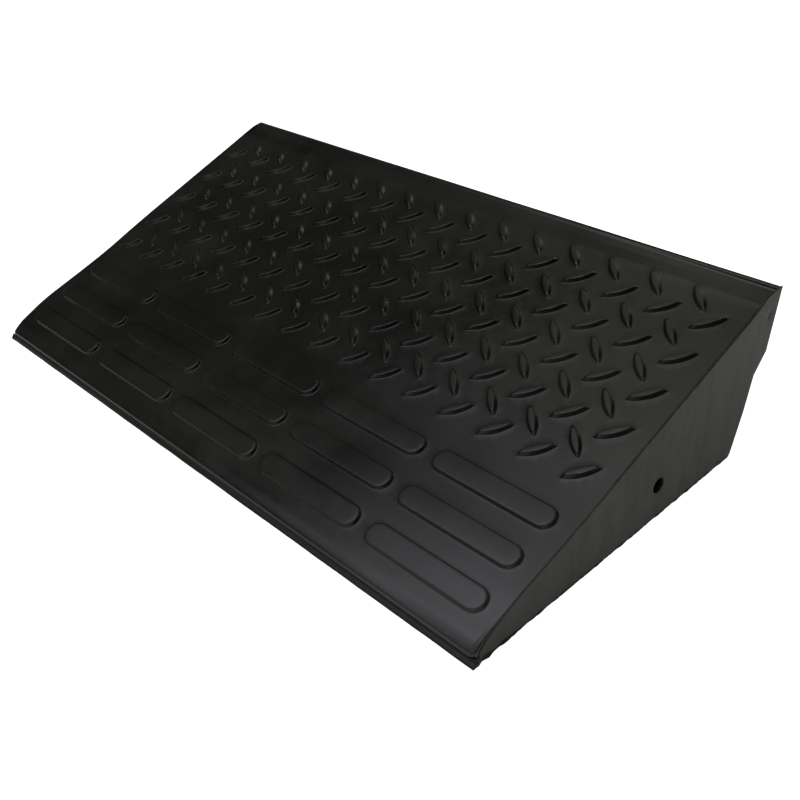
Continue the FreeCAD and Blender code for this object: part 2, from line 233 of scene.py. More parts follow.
def stations(start, end, step):
    count = max(1, int(round((end - start) / step)))
    return [start + (end - start) * i / count for i in range(count + 1)]


def add_prism(bm, section, xs, warp=None):
    """Closed (y, z) section swept along X. warp(x, i, y, z) gives the moved (y, z)."""
    loops = []
    for x in xs:
        moved = [warp(x, i, y, z) for i, (y, z) in enumerate(section)] if warp else section
        loops.append(add_loop(bm, moved, x))
    loft(bm, loops)
    for loop in (loops[0], loops[-1]):
        bmesh.ops.triangulate(bm, faces=[bm.faces.new(loop)])


def add_piece(name, bm, replaces, material, body="ramp", sharp=50, merge=True):
    if merge:
        bmesh.ops.remove_doubles(bm, verts=bm.verts, dist=0.0005)
    bmesh.ops.recalc_face_normals(bm, faces=bm.faces)
    for face in bm.faces:
        face.smooth = True
    limit = math.radians(sharp)
    for edge in bm.edges:
        if len(edge.link_faces) == 2:
            edge.smooth = edge.calc_face_angle(0.0) < limit
    for vert in bm.verts:
        vert.co *= MM
    mesh = bpy.data.meshes.new(name)
    bm.to_mesh(mesh)
    bm.free()
    ob = bpy.data.objects.new(name, mesh)
    bpy.context.scene.collection.objects.link(ob)
    mesh.materials.append(material)
    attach(ob, body)
    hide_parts(replaces)


# ------------------------------------------------------------------ the tread's section
# (y, z) stations of the curved front part of the top
TOP_CURVE = [(5.2, 10.0), (12.0, 14.7), (24.0, 19.9), (42.0, 26.9), (62.0, 33.4),
             (81.0, 39.2), (100.0, 45.2), (120.0, 52.0), (138.6, 59.1),
             (159.0, 66.7), (PLANE_START, plane_z(PLANE_START))]
NOSE = [(15.0, 5.05), (3.5, 5.05), (2.8, 5.9), (2.8, 7.0), (3.5, 8.6), TOP_CURVE[0]]
NOSE_RADII = [0, 0.4, 0.8, 1.2, 2.2, 0]
START_ANGLE = math.radians(38)
LIP_KNEE, LIP_CREST, LIP_EDGE, LIP_FOOT = (317.4, 121.75), (321.9, 121.3), (321.9, 121.25), (319.3, 109.0)
TAIL = [TOP_CURVE[-1], (297.0, plane_z(297.0)), (310.8, 117.5), LIP_KNEE, LIP_CREST, LIP_FOOT]
TAIL_RADII = [0, 9.0, 7.0, 1.1, 0.8, 0]
PATH_STEP = 0.5


def top_path():
    curve = spline(TOP_CURVE, (math.cos(START_ANGLE), math.sin(START_ANGLE)),
                   (math.cos(SLOPE), math.sin(SLOPE)), 1.0)
    nose = rounded(NOSE, NOSE_RADII, seg=4)
    return Path(densify(nose[:-1] + curve[:-1] + rounded(TAIL, TAIL_RADII, seg=7), PATH_STEP))


TOP = top_path()
S_FRONT = TOP.s_at_y(9.0, 8, 60)             # the patterned field runs from here
S_REAR = TOP.s_at_y(300.5, 250, TOP.length - 5)     # to here
S_PLANE = TOP.s_at_y(PLANE_Y, 200, TOP.length - 20)

# behind this y the lip leans out gently at the left end and stands up short and steep at the right
S_LIP = TOP.s_at_y(301.0, 250, TOP.length - 8)
LIP_START = tuple(float(v) for v in TOP.at(S_LIP))
LIP_LEFT = Path(densify(rounded([LIP_START, (309.5, 117.6), LIP_KNEE, LIP_CREST, LIP_FOOT],
                                [0, 7.0, 3.0, 0.8, 0], seg=7), PATH_STEP))
LIP_RIGHT = Path(densify(rounded([LIP_START, (316.6, 119.0), (318.0, 121.6), LIP_EDGE, LIP_FOOT],
                                 [0, 1.5, 0.8, 0.8, 0], seg=5), PATH_STEP))

UNDER_FRONT = [TOP.at(float(s), -SKIN) for s in np.linspace(10, 200, 800)]


def under_z(y):
    """Height of the tread cover's underside."""
    if y > PLANE_START:
        return plane_under_z(y)
    return float(min(UNDER_FRONT, key=lambda point: abs(point[0] - y))[1])


def unevenness(x, s):
    """Slow unevenness of the moulded surface, fading at the borders."""
    y = TOP.at(s)[0]
    fade = min(1.0, (TREAD_HALF - abs(x)) / 30.0) * min(1.0, max(0.0, (y - 4) / 25.0))
    return fade * (0.16 * smooth_noise(x, y, 95, 1.3) + 0.07 * smooth_noise(x, y, 34, 4.1))


def edge_drop(x, width=0.7, drop=0.3):
    """The tread's two end edges are slightly rolled down."""
    t = (abs(x) - (TREAD_HALF - width)) / width
    return -drop * t * t if t > 0 else 0.0


def corner_pull(x, y):
    """How far the section sits back at the toe's two corners, which are rounded in plan."""
    radius = 5.4 if x > 0 else 4.0
    d = abs(x) - (HALF - radius)
    if d <= 0:
        return 0.0
    fade = clamp01((34.0 - y) / 26.0)
    return fade * (radius - math.sqrt(max(0.0, radius * radius - min(d, radius - 0.05) ** 2)))


def lip_point(x, s, height):
    """Blend of the left and right lip sections."""
    u = (s - S_LIP) / (TOP.length - S_LIP)
    t = (x + HALF) / (2 * HALF)
    a = LIP_LEFT.at(u * LIP_LEFT.length, height)
    b = LIP_RIGHT.at(u * LIP_RIGHT.length, height)
    return a[0] + (b[0] - a[0]) * t, a[1] + (b[1] - a[1]) * t


def tread_point(x, s, height=0.0):
    """3-D point above the top, from X and the arc length s along the section."""
    raised = height + unevenness(x, s) + edge_drop(x)
    y, z = TOP.at(s, raised) if s <= S_LIP else lip_point(x, s, raised)
    return Vector((x, y + corner_pull(x, y) + Y0, z))


# ------------------------------------------------------------------ lugs and bars
LUG_PITCH_X, LUG_PITCH_S = 37.025, 36.55
LUG_X, LUG_S = -2.0, 0.5         # middle column, and top row's distance before S_PLANE
LUG_ROWS = 5
LENS_SEG = 12
# half-length, half-width, half tip width, height
LUG_RINGS = [(14.5, 4.45, 0.90, 0.0), (14.05, 4.1, 0.72, 0.06), (13.8, 3.88, 0.62, 0.25),
             (10.8, 2.56, 0.86, 2.44), (10.4, 2.26, 0.80, 2.74), (9.95, 1.9, 0.72, 2.88),
             (9.4, 1.5, 0.62, 2.905)]
LUG_CROWN = 0.005                # rise of the middle line over the last ring
LUG_CLEAR = (16.2, 6.3, 2.2)     # lens kept free of grid points
LUG_REACH = 16.5                 # no lug extends further than this in X or s

BAR_HALF = 43.65                 # half-length between the centres of the round ends
BAR_SIDE_SEG, BAR_ARC_SEG = 8, 10
# radius, height
BAR_RINGS = [(10.0, 0.0), (9.5, 0.07), (9.15, 0.4), (8.7, 1.5), (8.42, 2.15), (8.0, 2.55),
             (7.4, 2.74), (6.7, 2.8)]
BAR_MIDDLE = 2.86                # height of the middle line
BAR_CLEAR = 11.6
# y of the row, pitch along X, X of its middle bar
BAR_ROWS = [(28.5, 116.5, 1.0), (61.2, 117.0, -1.3), (94.5, 117.0, -1.45)]
BARS = [(x0 + k * pitch, TOP.s_at_y(y, 5, 200)) for y, pitch, x0 in BAR_ROWS for k in range(-2, 3)]

GRID_EDGE = (0.0, 0.25, 0.7, 1.5, 2.6, 4.0)    # fine columns, inward from each end of the tread
GRID_INNER_HALF = TREAD_HALF - 6.0
GRID_COLUMNS = 98
GRID_STEP_S = 5.5


def lug_places():
    """(x, s, turn) of each lug: full rows lean one way, the rows between lean the other."""
    out = []
    for row in range(LUG_ROWS):
        for offset, first, turn in ((0, -7, -45.0), (0.5, -8, 45.0)):
            s = S_PLANE - ((row + offset) * LUG_PITCH_S + LUG_S)
            for u in range(first, 8):
                out.append((LUG_X + (u + offset) * LUG_PITCH_X, s, math.radians(turn)))
    return out


LUGS = lug_places()


def lens_ring(half_len, half_width, tip):
    """Lens outline with blunt ends, anticlockwise."""
    points = []
    for side in (-1, 1):
        for i in range(LENS_SEG + 1):
            t = side * (-2 * i / LENS_SEG + 1)
            t = math.copysign(abs(t) ** 0.9, t)
            points.append((half_len * t, side * (tip + (half_width - tip) * (1 - t * t))))
    return points


def pill_ring(radius):
    """Outline of a bar with round ends, anticlockwise from the left end of its front side."""
    c, side = BAR_HALF, BAR_SIDE_SEG
    angles = [math.pi * i / BAR_ARC_SEG for i in range(BAR_ARC_SEG + 1)]
    points = [(-c + 2 * c * i / side, -radius) for i in range(side)]
    for a in (-math.pi / 2 + angle for angle in angles):
        points.append((c + radius * math.cos(a), radius * math.sin(a)))
    points += [(c - 2 * c * i / side, radius) for i in range(1, side)]
    for a in (math.pi / 2 + angle for angle in angles[:-1]):
        points.append((-c + radius * math.cos(a), radius * math.sin(a)))
    return points


def on_lug_at(lug, ring):
    """Moves a ring from a lug's own axes onto the tread."""
    cx, cs, turn = lug
    ca, sa = math.cos(turn), math.sin(turn)
    return [(cx + x * ca - y * sa, cs + x * sa + y * ca) for x, y in ring]


def inside_lug(x, s, half_len, half_width, tip):
    for cx, cs, turn in LUGS:
        if abs(cx - x) < LUG_REACH and abs(cs - s) < LUG_REACH:
            ca, sa = math.cos(turn), math.sin(turn)
            along = (x - cx) * ca + (s - cs) * sa
            across = -(x - cx) * sa + (s - cs) * ca
            t = along / half_len
            if abs(along) <= half_len and abs(across) <= tip + (half_width - tip) * (1 - t * t):
                return True
    return False


def inside_bar(x, s, radius):
    for cx, cs in BARS:
        past_end = max(0.0, abs(x - cx) - BAR_HALF)
        if past_end * past_end + (s - cs) * (s - cs) <= radius * radius:
            return True
    return False


def add_tread_rings(bm, rings):
    """Lofts (ring of (x, s), height) pairs and gives back the last loop."""
    loops = [[bm.verts.new(tread_point(x, s, h)) for x, s in ring] for ring, h in rings]
    loft(bm, loops)
    return loops[-1]


def add_lug(bm, lug):
    # every moulded lug differs a little in height
    scale = 1.0 + 0.03 * smooth_noise(lug[0], lug[1], 17, 2.2)
    last = add_tread_rings(bm, [(on_lug_at(lug, lens_ring(*size)), h * scale)
                                for *size, h in LUG_RINGS])
    half = len(last) // 2
    lower, upper = last[:half], last[half:][::-1]
    *size, height = LUG_RINGS[-1]
    middle = []
    for x, _ in lens_ring(*size)[:half]:
        mx, ms = on_lug_at(lug, [(x, 0.0)])[0]
        crown = (height + LUG_CROWN * (1 - (x / size[0]) ** 2)) * scale
        middle.append(bm.verts.new(tread_point(mx, ms, crown)))
    for i in range(half - 1):
        bm.faces.new((lower[i], lower[i + 1], middle[i + 1], middle[i]))
        bm.faces.new((middle[i], middle[i + 1], upper[i + 1], upper[i]))
    bm.faces.new((lower[0], middle[0], upper[0]))
    bm.faces.new((lower[-1], upper[-1], middle[-1]))


def add_bar(bm, cx, cs):
    last = add_tread_rings(bm, [([(cx + x, cs + y) for x, y in pill_ring(r)], h)
                                for r, h in BAR_RINGS])
    ring = pill_ring(BAR_RINGS[-1][0])
    total = len(ring)
    # pair each lower point, tip to tip, with its mirror in the long axis
    quarter = BAR_ARC_SEG // 2
    lower = list(range(total - quarter, total)) + list(range(BAR_SIDE_SEG + quarter + 1))
    upper, middle = [], []
    for i in lower:
        x, y = ring[i]
        mirror = min(range(total), key=lambda q: (ring[q][0] - x) ** 2 + (ring[q][1] + y) ** 2)
        upper.append(mirror)
        if i == mirror:
            middle.append(last[i])
        else:
            middle.append(bm.verts.new(tread_point(cx + x, cs, BAR_MIDDLE)))
    for i in range(len(lower) - 1):
        for chain, turn in ((lower, 1), (upper, -1)):
            corners = [last[chain[i]], last[chain[i + 1]], middle[i + 1], middle[i]]
            corners = list(dict.fromkeys(corners))     # the tips give triangles
            if len(corners) >= 3:
                bm.faces.new(corners[::turn])


def tread_grid(xs):
    """Points between the lugs and bars, with an unbroken border."""
    rows = int((S_REAR - S_FRONT) / GRID_STEP_S)
    points = []
    for j in range(rows + 1):
        s = S_FRONT + (S_REAR - S_FRONT) * j / rows
        for i, x in enumerate(xs):
            border = i in (0, len(xs) - 1) or j in (0, rows)
            if border or not (inside_lug(x, s, *LUG_CLEAR) or inside_bar(x, s, BAR_CLEAR)):
                points.append((x, s))
    return points


def tread_underside():
    """(y, z) of the underside, from the rear to the nose."""
    points = [(y, plane_under_z(y)) for y in (299.0, *range(280, PLANE_START, -20))]
    front = [TOP.at(TOP.s_at_y(y, 5, 300), -SKIN) for y in range(170, 14, -6)]
    return points + [(y, z) for y, z in front if z > 6.0]


def build_tread():
    bm = bmesh.new()
    inner = GRID_INNER_HALF
    xs = [-TREAD_HALF + e for e in GRID_EDGE]
    xs += [-inner + 2 * inner * i / GRID_COLUMNS for i in range(GRID_COLUMNS + 1)]
    xs += [TREAD_HALF - e for e in GRID_EDGE[::-1]]

    lug_foot = LUG_RINGS[0][:3]
    bar_foot = BAR_RINGS[0][0]
    rings = [on_lug_at(lug, lens_ring(*lug_foot)) for lug in LUGS]
    rings += [[(cx + x, cs + y) for x, y in pill_ring(bar_foot)] for cx, cs in BARS]
    add_triangulated(
        bm, rings, tread_grid(xs), place=tread_point,
        keep=lambda x, s: not (inside_lug(x, s, *lug_foot) or inside_bar(x, s, bar_foot - 0.02)))
    for lug in LUGS:
        add_lug(bm, lug)
    for cx, cs in BARS:
        add_bar(bm, cx, cs)

    # the rest of the section, as plain strips along X
    def top_rows(arcs):
        return [[tread_point(x, s) for x in xs] for s in arcs]

    def add_strip(rows):
        loft(bm, [[bm.verts.new(co) for co in row] for row in rows], closed=False)

    arcs = [float(s) for s in TOP.arc]
    add_strip(top_rows([s for s in arcs if s < S_FRONT - 0.2] + [S_FRONT]))
    add_strip(top_rows([S_REAR] + [s for s in arcs if s > S_REAR + 0.2]))
    under = [[Vector((x, y + Y0, z)) for x in xs] for y, z in tread_underside()]
    add_strip(top_rows([TOP.length]) + under + top_rows([0.0]))

    # close the two ends
    bmesh.ops.remove_doubles(bm, verts=bm.verts, dist=0.0005)
    for end_x in (-TREAD_HALF, TREAD_HALF):
        edges = [e for e in bm.edges if len(e.link_faces) == 1
                 and all(abs(v.co.x - end_x) < 1e-4 for v in e.verts)]
        if edges:
            bmesh.ops.triangle_fill(bm, edges=edges, use_beauty=True)
    return bm


# ------------------------------------------------------------------ toe and rear mouldings
# front tier's (y, z) section, tucked in at the left and squeezed out at the right
TOE_LEFT = [(3.6, 0.0), (1.0, 0.0), (0.5, 0.25), (0.3, 0.9), (0.4, 1.7), (0.75, 2.5),
            (1.25, 3.4), (1.8, 4.2), (2.4, 4.95), (3.6, 4.97)]
TOE_RIGHT = [(3.6, 0.0), (0.5, 0.0), (0.1, 0.25), (0.0, 0.8), (0.15, 1.5), (0.8, 2.1),
             (2.0, 2.55), (3.1, 3.0), (3.25, 4.95), (3.6, 4.97)]
TOE_STUB_LEFT = [(3.7, 0.0), (9.6, 0.0), (9.6, 2.4), (3.7, 2.4)]
TOE_STUB_RIGHT = [(3.5, 0.0), (9.6, 0.0), (9.6, 4.6), (5.4, 4.6), (3.5, 3.1)]
WEDGE_HALF = 287.9

# (y, z) of the kerb side below the lip, downwards, then of the wall's inside, upwards
REAR_OUTER = [(311.4, 74.0), (298.0, 60.0), (290.0, 33.0), (278.0, 2.6), (276.0, 0.0)]
REAR_INNER = [(264.0, 0.0), (278.5, 36.0), (286.0, 63.5), (300.0, 78.0)]
REAR_RADII = [0.0, 5.0, 5.0, 6.0, 2.0, 1.0, 1.0, 6.0, 5.0, 5.0, 0.0]
REAR_HALF = 287.95


def toe_warp(x, i, y, z):
    """Blends the left section into the right one and ripples the front."""
    t = clamp01((x + 235.0) / 420.0)
    t = t * t * (3 - 2 * t)
    if x < -HALF + 3:
        t = 0.75
    t = clamp01(t + 0.10 * smooth_noise(x, 3, 40, 7.7))
    a, b = TOE_LEFT[i], TOE_RIGHT[i]
    y, z = a[0] + (b[0] - a[0]) * t, a[1] + (b[1] - a[1]) * t
    ripple = 0.22 + 0.22 * smooth_noise(x, 5, 22, 2.7) + 0.10 * smooth_noise(x, 9, 7, 1.1)
    y += max(0.0, 1 - y / 3.0) * ripple * (0.4 if x > HALF - 20 else 1.0)
    return max(0.0, y), z


def build_toe():
    bm = bmesh.new()
    tier_half = HALF + FLASH - 0.2
    add_prism(bm, TOE_LEFT, stations(-tier_half, tier_half, 2.0), toe_warp)
    # solid wedge behind the tier, under the tread cover
    wedge = [(3.6, 0.0), (3.6, 4.9), (15.0, 4.9)]
    wedge += [(y, max(5.0, under_z(y) - 0.1)) for y in (18.0, 22.0, 26.0, 30.0, 34.0)]
    wedge += [(34.0, 0.6), (33.4, 0.0)]
    add_prism(bm, wedge[::-1], stations(-WEDGE_HALF, WEDGE_HALF, 24.0))
    # its two ends run on under the tread's corners
    add_prism(bm, TOE_STUB_LEFT, [-299.0, -292.0, -WEDGE_HALF])
    add_prism(bm, TOE_STUB_RIGHT, [WEDGE_HALF, 294.0, 299.5])
    return bm


def rear_warp(x, i, y, z):
    return y + (0.25 * smooth_noise(x, z, 70, 2.0) if 4 < z < 104 else 0.0), z


def build_rear():
    bm = bmesh.new()
    points = [(319.2, 108.9)] + REAR_OUTER + REAR_INNER + [(306.9, 107.3)]
    section = rounded(points, REAR_RADII, closed=True)
    add_prism(bm, section, stations(-REAR_HALF, REAR_HALF, 12.0), rear_warp)
    return bm


# ------------------------------------------------------------------ end panels
HOLE = (185.2, 27.1)             # (y, z) of the bolt hole
HOLE_R, SLEEVE_R, BOSS_R = 5.75, 7.5, 15.0
HOLE_RIM_R = HOLE_R + 0.4
SOCKET_R, SOCKET_DEPTH = 9.3, 9.1     # wider bore in the right boss
DIMPLE = (307.5, 104.4)
# radius, depth behind the face
DIMPLE_RINGS = [(3.9, 0.0), (3.2, 0.12), (2.4, 0.42), (1.2, 0.55)]
WALL_X = HALF - 12.0             # inner side of the wall
BOSS_X = HALF - 34.0             # inner end of the boss
# (y, z) of the fin above the lip; the left one first follows the plane
FIN_RIGHT = [(289.0, plane_z(289.0)), (296.0, 116.3), (301.0, 119.4), (304.5, 120.9),
             (312.0, 121.5), (319.5, 122.0), (321.9, 121.9), (322.0, 121.2)]
FIN_LEFT = [(y, plane_z(y) + 0.05) for y in (289.0, 296.0, 303.0, 308.0)]
FIN_LEFT += [(310.5, 120.1), (313.5, 120.75), (318.5, 121.4), (321.6, 121.5), (322.0, 121.2)]


def end_outline(side):
    """Outline of an end face, from the toe's foot, over the top and down the kerb side."""
    x = side * HALF
    top = [(float(y) + corner_pull(x, float(y)), float(z))
           for y, z in TOP.points if z > 8.3 and y < 288.5]
    spaced = [top[0]]
    for point in top[1:]:
        gap = math.dist(point, spaced[-1])
        if gap > 5.0 or (point[0] < 19 and gap > 1.2):
            spaced.append(point)
    front = 2.8 + corner_pull(x, 2.8)
    toe = [(front + 0.5, 0.0), (front + 0.1, 1.0), (front, 3.4), (front, 5.9), (front + 0.1, 7.2)]
    fin = FIN_RIGHT if side > 0 else FIN_LEFT
    rear = rounded([fin[-1], LIP_FOOT] + REAR_OUTER, [0, 0, 1.0, 1.0, 3.0, 2.0, 0], seg=4)[1:]
    return toe + spaced + fin + rear


def below_tread(outline):
    """The outline with its top lowered to the tread's underside."""
    low = []
    for y, z in outline:
        s = TOP.s_at_y(y, 5, TOP.length - 14)
        if z > 9.0 and y < 319.2 and abs(z - float(TOP.at(s)[1])) < 7.5:
            y = max(y, 15.5)
            ceiling = min(z, under_z(y)) if y < 306 else 107.0 + (min(y, 319.3) - 306) * 0.15
            low.append((min(y, 319.2), max(4.95, ceiling)))
        elif z > 108.9:
            low.append((319.2, 108.8))
        elif y < 9.0 and z > 4.9:
            low.append((y, 4.95))
        else:
            low.append((y, z))
    return low


def add_end_face(bm, side, outline, border):
    """The gently wavy outer face, level at its border, the hole and the dimple."""
    dimple_r = DIMPLE_RINGS[0][0]
    core = inset(outline, 3.4)
    grid = [(4.0 + i * 6.0, 3.0 + j * 6.0) for i in range(54) for j in range(21)]
    grid = [p for p in grid if inside_outline(core, *p)
            and math.dist(p, HOLE) > HOLE_R + 3.5 and math.dist(p, DIMPLE) > 6.0]

    def place(y, z):
        wave = (-0.02 + 0.22 * smooth_noise(y, z * 0.45, 46, 5.0 + side)
                + 0.1 * smooth_noise(y, z * 0.4, 15, 9.0))
        clear = min(math.dist((y, z), HOLE) - HOLE_R, math.dist((y, z), DIMPLE) - 3.0)
        to_border = math.sqrt(min((q[0] - y) ** 2 + (q[1] - z) ** 2 for q in border[::2]))
        depth = wave * clamp01(clear / 14.0) * min(1.0, to_border / 16.0)
        return Vector((HALF + min(0.0, depth), y + Y0, z))

    def keep(y, z):
        return (inside_outline(border, y, z) and math.dist((y, z), HOLE) > HOLE_RIM_R - 0.05
                and math.dist((y, z), DIMPLE) > dimple_r - 0.1)

    rings = [border, circle(HOLE, HOLE_RIM_R), circle(DIMPLE, dimple_r, 24)]
    add_triangulated(bm, rings, grid, place, keep)


def add_boss(bm, side):
    """The hole through the rubber, the sleeve's seat and the boss around it."""
    seat_r = SLEEVE_R + 0.02
    profile = [(HOLE_RIM_R, HALF), (HOLE_R + 0.18, HALF - 0.08), (HOLE_R + 0.05, HALF - 0.4),
               (HOLE_R, HALF - 1.2), (HOLE_R, HALF - 7.95), (seat_r, HALF - 7.95)]
    if side > 0:
        mouth_r = SOCKET_R
        profile += [(seat_r, BOSS_X + SOCKET_DEPTH), (SOCKET_R, BOSS_X + SOCKET_DEPTH)]
    else:
        mouth_r = seat_r
    profile += [(mouth_r, BOSS_X + 0.4), (mouth_r + 0.5, BOSS_X), (BOSS_R - 0.8, BOSS_X),
                (BOSS_R - 0.2, BOSS_X + 0.25), (BOSS_R, BOSS_X + 0.9), (BOSS_R, WALL_X)]
    loft(bm, [add_loop(bm, circle(HOLE, r), x) for r, x in profile])


def add_flash(bm, side):
    """Torn flash along the foot of the face, with a lump at the right end's toe."""
    limit = FLASH - 0.02
    loops = []
    for y in np.arange(3.5 if side > 0 else 8.0, 276.0, 1.1):
        reach = (0.32 + 0.5 * smooth_noise(y, 40 * side, 9.0, 3.3)
                 + 0.35 * smooth_noise(y, 11, 3.1, 8.8 + side))
        reach += 1.2 * bell(y, 14, 3.5) + 0.9 * bell(y, 30, 5.0)
        reach = max(0.04, min(limit, reach))
        reach *= min(1.0, (276 - y) / 4 + 0.1)
        lump = bell(y, 4.6, 3.0) if side > 0 else 0.0
        reach = min(limit, reach + 1.5 * lump)
        tip_z = 0.55 + 0.25 * smooth_noise(y, 3, 5, 6.0) + 1.9 * lump
        section = ((-0.35, 1.25 + 3.3 * lump), (0.05, 0.8 + 2.9 * lump), (reach, tip_z),
                   (reach * 0.97, 0.1), (-0.35, 0.02))
        loops.append([bm.verts.new(Vector((HALF + out, y + Y0, z))) for out, z in section])
    loft(bm, loops)
    bm.faces.new(loops[0])
    bm.faces.new(loops[-1])


def build_end(side):
    """Side +1 is the right end, -1 the left. Built at the right, then mirrored for the left."""
    bm = bmesh.new()
    outline = end_outline(side)
    outline = densify(outline + [outline[0]], 6.0)[:-1]
    border = inset(outline, 1.0)
    add_end_face(bm, side, outline, border)

    # rounded edge, then back to the tread's underside behind the thin edge
    rim = [(outline, HALF - 0.45), (inset(outline, 0.12), HALF - 0.16),
           (inset(outline, 0.45), HALF - 0.02), (border, HALF)]
    rim = [add_loop(bm, ring, x) for ring, x in rim]
    loft(bm, rim)
    low = below_tread(outline)
    step_x = TREAD_HALF + 0.06
    steps = [add_loop(bm, ring, x) for ring, x in ((outline, step_x), (low, step_x), (low, WALL_X))]
    loft(bm, [rim[0]] + steps)

    add_triangulated(
        bm, [low, circle(HOLE, BOSS_R)], [], place=lambda y, z: Vector((WALL_X, y + Y0, z)),
        keep=lambda y, z: inside_outline(low, y, z) and math.dist((y, z), HOLE) > BOSS_R * 0.985)
    add_boss(bm, side)
    dimple = [add_loop(bm, circle(DIMPLE, r, 24), HALF - depth) for r, depth in DIMPLE_RINGS]
    loft(bm, dimple)
    bm.faces.new(dimple[-1])
    bmesh.ops.remove_doubles(bm, verts=bm.verts, dist=0.002)
    bmesh.ops.dissolve_degenerate(bm, dist=0.0005, edges=bm.edges)

    add_flash(bm, side)
    if side < 0:
        for vert in bm.verts:
            vert.co.x = -vert.co.x
    return bm


# ------------------------------------------------------------------ joining bolt
BOLT_TIP = -HALF + 2.0           # X; the bolt points to the left end
BOLT_LENGTH = 70.0               # under the head
BOLT_R = 4.98
BOLT_POINT_R = 3.9               # where the chamfer at the tip starts
THREAD_PITCH, THREAD_DEPTH = 1.5, 0.92
THREAD_LENGTH, THREAD_STEP = 50, 0.25
HEAD_HEIGHT, HEAD_FLATS = 6.4, 16.0
BOLT_SEG = 48
# distance from the underside of the head, radius that limits the hexagon there
HEAD_RINGS = [(0.02, 7.7), (0.35, 8.6), (0.7, 9.3), (HEAD_HEIGHT - 1.0, 9.3),
              (HEAD_HEIGHT - 0.55, 8.7), (HEAD_HEIGHT - 0.15, 8.0), (HEAD_HEIGHT, 7.4)]


def thread_radius(x, angle):
    u = ((x - BOLT_TIP) / THREAD_PITCH - angle / (2 * math.pi)) % 1.0
    flank = clamp01((1 - abs(2 * u - 1) - 0.12) / 0.72)
    runout = clamp01((BOLT_TIP + 48 - x) / 2.0)
    chamfer = BOLT_POINT_R + (x - BOLT_TIP)
    return min(BOLT_R - THREAD_DEPTH * (1 - flank) * runout, chamfer)


def hex_radius(angle):
    return HEAD_FLATS / 2 / math.cos((angle + math.pi / 6) % (math.pi / 3) - math.pi / 6)


def build_bolt():
    bm = bmesh.new()
    angles = np.linspace(0, 2 * math.pi, BOLT_SEG, endpoint=False)
    loops = []

    def add_ring(x, radii):
        loops.append([bm.verts.new(Vector((x, HOLE[0] + Y0 + r * math.cos(a),
                                           HOLE[1] + r * math.sin(a))))
                      for r, a in zip(radii, angles)])

    def add_rounds(*rings):
        for x, radius in rings:
            add_ring(x, [radius] * BOLT_SEG)

    add_rounds((BOLT_TIP, 0.01), (BOLT_TIP, 3.6))
    for i in range(int(THREAD_LENGTH / THREAD_STEP)):
        x = BOLT_TIP + i * THREAD_STEP
        add_ring(x, [thread_radius(x, a) for a in angles])
    head = BOLT_TIP + BOLT_LENGTH
    add_rounds((BOLT_TIP + THREAD_LENGTH + 0.5, BOLT_R), (head - 0.6, BOLT_R),
               (head - 0.25, 5.15), (head, 5.6), (head, 7.6))
    for rise, limit in HEAD_RINGS:
        add_ring(head + rise, [min(hex_radius(a) - 0.05, limit) for a in angles])
    top = head + HEAD_HEIGHT
    add_rounds((top, 6.4), (top - 0.25, 6.0), (top - 0.25, 0.01))
    loft(bm, loops)
    bm.faces.new(loops[0])
    bm.faces.new(loops[-1])
    return bm


# ------------------------------------------------------------------ shader helpers
class Nodes:
    """Adds nodes to an emptied tree. Inputs may be values or other nodes' outputs."""

    def __init__(self, tree):
        self.tree = tree
        tree.nodes.clear()

    def new(self, kind):
        return self.tree.nodes.new("ShaderNode" + kind)

    def put(self, node, values):
        for key, value in values.items():
            socket = node.inputs[key]
            if isinstance(value, bpy.types.NodeSocket):
                self.tree.links.new(value, socket)
            elif socket.type == "RGBA":
                socket.default_value = (*value, 1.0)
            else:
                socket.default_value = value

    def coords(self):
        return self.new("TexCoord").outputs["Object"]

    def noise(self, vector, scale, detail=3.0, rough=0.55, distort=0.0):
        node = self.new("TexNoise")
        self.put(node, {"Scale": scale, "Detail": detail, "Roughness": rough,
                        "Distortion": distort, "Vector": vector})
        return node.outputs["Fac"]

    def mapping(self, vector, scale=(1, 1, 1), shift=(0, 0, 0), turn=(0, 0, 0)):
        node = self.new("Mapping")
        self.put(node, {"Scale": scale, "Location": shift, "Rotation": turn, "Vector": vector})
        return node.outputs["Vector"]

    def ramp(self, value, low, high, start=0.0, end=1.0, interpolation="LINEAR"):
        """Maps low..high to start..end, clamped."""
        node = self.new("MapRange")
        node.interpolation_type = interpolation
        self.put(node, {"From Min": low, "From Max": high, "To Min": start, "To Max": end,
                        "Value": value})
        node.clamp = True
        return node.outputs["Result"]

    def math(self, operation, a, b=0.0):
        node = self.new("Math")
        node.operation = operation
        self.put(node, {0: a, 1: b})
        return node.outputs[0]

    def mix(self, factor, a, b):
        """Colour mix; 6 and 7 are the node's colour inputs."""
        node = self.new("Mix")
        node.data_type = "RGBA"
        self.put(node, {"Factor": factor, 6: a, 7: b})
        return node.outputs[2]

    def axes(self, vector):
        node = self.new("SeparateXYZ")
        self.put(node, {0: vector})
        return node.outputs

    def bump(self, height, strength, distance):
        node = self.new("Bump")
        self.put(node, {"Strength": strength, "Distance": distance, "Height": height})
        return node.outputs["Normal"]


def new_material(name):
    material = bpy.data.materials.new(name)
    material.use_nodes = True
    nodes = Nodes(material.node_tree)
    output = nodes.new("OutputMaterial")
    bsdf = nodes.new("BsdfPrincipled")
    nodes.put(output, {0: bsdf.outputs[0]})
    return material, nodes, bsdf


